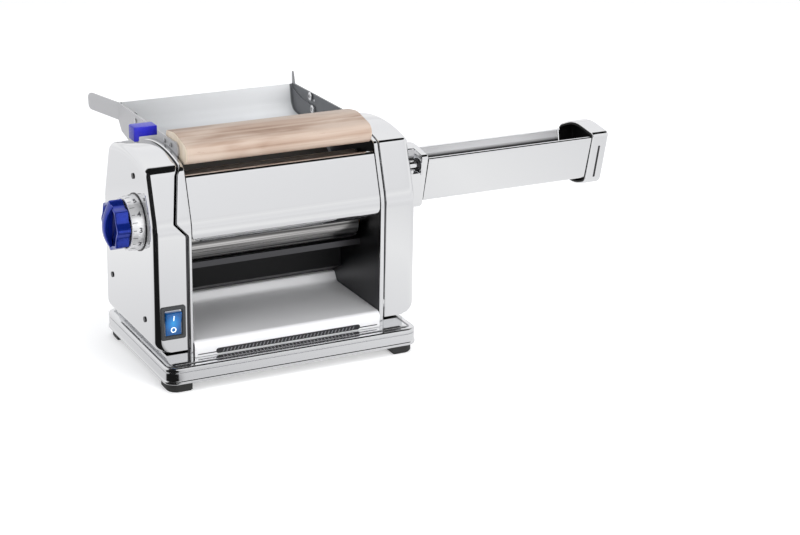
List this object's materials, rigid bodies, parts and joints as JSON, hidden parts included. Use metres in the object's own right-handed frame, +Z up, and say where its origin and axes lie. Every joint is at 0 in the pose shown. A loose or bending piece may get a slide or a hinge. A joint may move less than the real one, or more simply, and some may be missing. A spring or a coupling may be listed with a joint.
{
  "type": "electric pasta roller machine",
  "caption": "Motor-driven pasta roller with two steel dough rollers, thickness knob, tilting hopper with a beech guide bar, outlet chute and a side-mounted noodle cutter.",
  "frame": {"origin": "centre of the base plate's flat underside; the rubber feet reach 10 mm below it", "axes": "+X across the machine towards the noodle cutter, -Y towards the front where the pasta comes out, +Z up"},
  "size_m": [0.6095, 0.2988, 0.2653],
  "materials": {
    "polished_steel": "polished stainless sheet",
    "satin_steel": "satin stainless",
    "plain_steel": "turned, plain",
    "gear_steel": "machined, oiled",
    "dark_paint": "dark semi-gloss",
    "black_paint": "black satin",
    "motor_paint": "dark grey satin",
    "foot_rubber": "matt",
    "black_plastic": "fine grain",
    "blue_plastic": "moulded",
    "lens_blue": "translucent, lit from inside",
    "bush_brass": "machined",
    "beech": "shaped, oiled"
  },
  "bodies": {
    "machine": {"base_tray": "polished_steel", "base_plate": "dark_paint", "feet": "foot_rubber", "foot_screws": "plain_steel", "foot_rails": "polished_steel", "left_side_plate": "dark_paint", "right_side_plate": "dark_paint", "left_edge_strip": "polished_steel", "right_edge_strip": "polished_steel", "left_housing": "polished_steel", "right_housing": "polished_steel", "housing_screws": "plain_steel", "tie_rods": "plain_steel", "front_cover": "polished_steel", "rear_cover": "polished_steel", "cover_screws": "plain_steel", "chute": "satin_steel", "vent_strip": "black_plastic", "motor_cover": "black_paint", "front_bushes": "bush_brass", "front_scraper": "satin_steel", "dial_ring": "satin_steel", "switch_bezel": "black_plastic", "cable_gland": "black_plastic", "motor": "motor_paint", "idler_stub": "plain_steel"},
    "front_roller_set": {"front_roller": "satin_steel", "front_mesh_gear": "gear_steel", "drive_gear": "gear_steel"},
    "carriage": {"left_slider": "gear_steel", "right_slider": "gear_steel", "rear_scraper": "satin_steel"},
    "rear_roller_set": {"rear_roller": "satin_steel", "rear_mesh_gear": "gear_steel"},
    "knob_set": {"knob": "blue_plastic", "adjuster_shaft": "plain_steel", "scroll_discs": "gear_steel"},
    "rocker": {"switch_rocker": "lens_blue"},
    "pinion": {"motor_pinion": "gear_steel"},
    "reduction": {"reduction_gear": "gear_steel"},
    "output": {"output_coupling": "gear_steel"},
    "hopper": {"hopper_sheet": "satin_steel", "left_hopper_arm": "satin_steel", "right_hopper_arm": "satin_steel", "hopper_rivets": "plain_steel", "safety_tab": "blue_plastic", "wooden_guide": "beech", "guide_screws": "plain_steel"},
    "cutter": {"cutter_inner_cap": "polished_steel", "cutter_outer_cap": "polished_steel", "cutter_front_cover": "polished_steel", "cutter_rear_cover": "polished_steel", "cutter_tie_rods": "plain_steel", "cutter_combs": "satin_steel"},
    "cutter_rear_set": {"cutter_rear_roller": "satin_steel", "cutter_rear_gear": "gear_steel"},
    "cutter_front_set": {"cutter_front_roller": "satin_steel", "cutter_front_gear": "gear_steel"}
  },
  "joints": [
    {"name": "front_roller_spin", "type": "hinge", "parent": "machine", "child": "front_roller_set", "pos_m": [0, -0.014, 0.131], "axis": [1, 0, 0], "continuous": true},
    {"name": "rear_roller_spin", "type": "hinge", "parent": "carriage", "child": "rear_roller_set", "pos_m": [0, 0.0365, 0.131], "axis": [1, 0, 0], "continuous": true},
    {"name": "reduction_spin", "type": "hinge", "parent": "machine", "child": "reduction", "pos_m": [0.125, 0.01545, 0.1043], "axis": [1, 0, 0], "continuous": true},
    {"name": "pinion_spin", "type": "hinge", "parent": "machine", "child": "pinion", "pos_m": [0.125, 0.05101, 0.07206], "axis": [1, 0, 0], "continuous": true},
    {"name": "output_spin", "type": "hinge", "parent": "machine", "child": "output", "pos_m": [0.13, -0.014, 0.1715], "axis": [1, 0, 0], "continuous": true},
    {"name": "cutter_rear_spin", "type": "hinge", "parent": "cutter", "child": "cutter_rear_set", "pos_m": [0.28, -0.014, 0.1715], "axis": [1, 0, 0], "continuous": true},
    {"name": "cutter_front_spin", "type": "hinge", "parent": "cutter", "child": "cutter_front_set", "pos_m": [0.28, -0.0334, 0.1715], "axis": [1, 0, 0], "continuous": true},
    {"name": "knob_turn", "type": "hinge", "parent": "machine", "child": "knob_set", "pos_m": [0, -0.031, 0.164], "axis": [1, 0, 0], "range_deg": [0, 300]},
    {"name": "carriage_slide", "type": "slide", "parent": "machine", "child": "carriage", "axis": [0, 1, 0], "range_m": [0, 0.0045]},
    {"name": "hopper_tilt", "type": "hinge", "parent": "machine", "child": "hopper", "pos_m": [0, 0.054, 0.206], "axis": [1, 0, 0], "range_deg": [-30, 0]},
    {"name": "rocker_turn", "type": "hinge", "parent": "machine", "child": "rocker", "pos_m": [-0.134, -0.073, 0.063], "axis": [1, 0, 0], "range_deg": [-14, 0]},
    {"name": "cutter_slide", "type": "slide", "parent": "machine", "child": "cutter", "axis": [1, 0, 0], "range_m": [0, 0.06]}
  ],
  "couplings": [
    {"joint": "rear_roller_spin", "follows": "front_roller_spin", "ratio": -1},
    {"joint": "reduction_spin", "follows": "front_roller_spin", "ratio": -2.3125},
    {"joint": "pinion_spin", "follows": "front_roller_spin", "ratio": 16.188},
    {"joint": "output_spin", "follows": "front_roller_spin", "ratio": -2.1765},
    {"joint": "cutter_rear_spin", "follows": "front_roller_spin", "ratio": -2.1765},
    {"joint": "cutter_front_spin", "follows": "front_roller_spin", "ratio": 2.1765},
    {"joint": "knob_turn", "follows": "carriage_slide", "rad_per_m": 1163.6}
  ]
}
